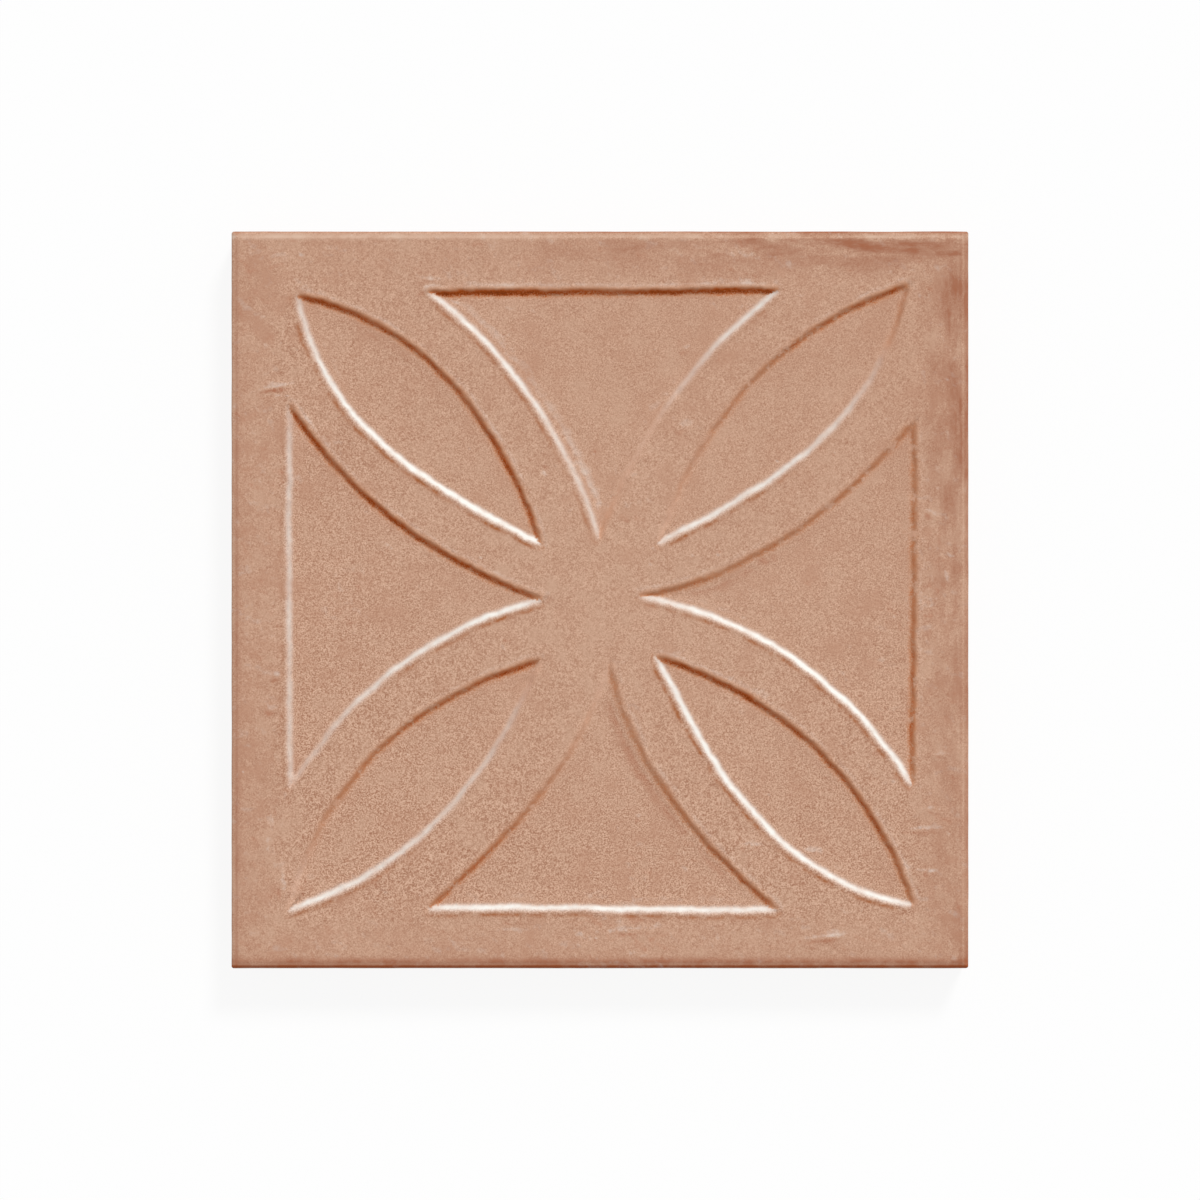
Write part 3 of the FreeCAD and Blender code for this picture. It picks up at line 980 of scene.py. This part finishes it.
def floor_material(stage):
    """A pale floor that the camera and reflections see as near white, with the tile's soft shadow."""
    material = bpy.data.materials.new("stage floor")
    material.use_nodes = True
    wire = Wiring(material.node_tree)
    shader = wire.tree.nodes["Principled BSDF"]
    wire.feed_all(shader.inputs, {"Base Color": stage.floor_colour, "Roughness": 1,
                                  "Specular IOR Level": 0})
    glow = wire.add("ShaderNodeEmission", (1, 1, 1), 1)
    seen = wire.product(seen_rays(wire), stage.backdrop_glow)
    mixed = wire.add("ShaderNodeMixShader", seen, shader.outputs[0], glow.outputs[0])
    wire.feed(wire.tree.nodes["Material Output"].inputs["Surface"], mixed.outputs[0])
    return material


def build_floor(stage):
    """A plain square floor at the height of the tile's underside."""
    mesh = bpy.data.meshes.new("stage floor")
    reach = stage.floor_half
    corners = [(-reach, -reach, 0), (reach, -reach, 0), (reach, reach, 0), (-reach, reach, 0)]
    mesh.from_pydata(corners, [], [(0, 1, 2, 3)])
    mesh.materials.append(floor_material(stage))
    placed("stage_floor", mesh)


def build_light(scene, stage):
    """A soft key light from the top right, and an even white sky for the rest."""
    lamp = bpy.data.lights.new("key light", "SUN")
    lamp.energy = stage.key_share * math.pi / math.sin(stage.key_elevation)
    lamp.angle = stage.key_angle
    level = math.cos(stage.key_elevation)
    towards = Vector((math.sin(stage.key_azimuth) * level, math.cos(stage.key_azimuth) * level,
                      math.sin(stage.key_elevation)))
    placed("key light", lamp).rotation_euler = towards.to_track_quat("Z", "Y").to_euler()
    world = bpy.data.worlds.new("studio sky")
    world.use_nodes = True
    scene.world = world
    wire = Wiring(world.node_tree)
    sky = world.node_tree.nodes["Background"]
    sky.inputs["Color"].default_value = (1, 1, 1, 1)
    wire.feed(sky.inputs["Strength"], wire.ramp(seen_rays(wire), 0, 1, 1 - stage.key_share, 1))


def build_camera(scene, stage):
    """A long lens straight above the tile, with the top of the tile at the top of the picture."""
    lens = bpy.data.cameras.new("camera")
    lens.lens = stage.lens
    camera = placed("camera", lens)
    edge_height = TILE_TOP - 2.4 * MM
    camera.location = (0, 0, edge_height + stage.frame_width * stage.lens / lens.sensor_width)
    scene.camera = camera


class TILE_OT_stage(bpy.types.Operator):
    """Set the floor, the light and the camera"""
    bl_idname = "tile.stage"
    bl_label = "Stage"

    def execute(self, context):
        scene = context.scene
        build_floor(scene.tile_stage)
        build_light(scene, scene.tile_stage)
        build_camera(scene, scene.tile_stage)
        scene.view_settings.view_transform = "Standard"
        return {"FINISHED"}


class TILE_PT_panel(bpy.types.Panel):
    """Lists the steps that build the tile, and what can be set"""
    bl_idname = "TILE_PT_panel"
    bl_label = "Floor tile"
    bl_space_type = "VIEW_3D"
    bl_region_type = "UI"
    bl_category = "Floor tile"

    def draw(self, context):
        for step in STEPS:
            self.layout.operator(step.bl_idname)
        for group in (context.scene.tile_sizes, context.scene.tile_colours, context.scene.tile_stage):
            box = self.layout.box()
            for name in group.bl_rna.properties.keys():
                if name not in ("rna_type", "name"):
                    box.prop(group, name)


STEPS = (TILE_OT_floor_tile, TILE_OT_stage)
CLASSES = (TileSizes, TileColours, StageSettings, *STEPS, TILE_PT_panel)


def register():
    for made in CLASSES:
        bpy.utils.register_class(made)
    bpy.types.Scene.tile_sizes = PointerProperty(type=TileSizes)
    bpy.types.Scene.tile_colours = PointerProperty(type=TileColours)
    bpy.types.Scene.tile_stage = PointerProperty(type=StageSettings)


def unregister():
    del bpy.types.Scene.tile_sizes
    del bpy.types.Scene.tile_colours
    del bpy.types.Scene.tile_stage
    for made in reversed(CLASSES):
        bpy.utils.unregister_class(made)


def main():
    """Registers the add-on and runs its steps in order."""
    register()
    bpy.ops.tile.floor_tile()
    bpy.ops.tile.stage()


if __name__ == "__main__":
    main()
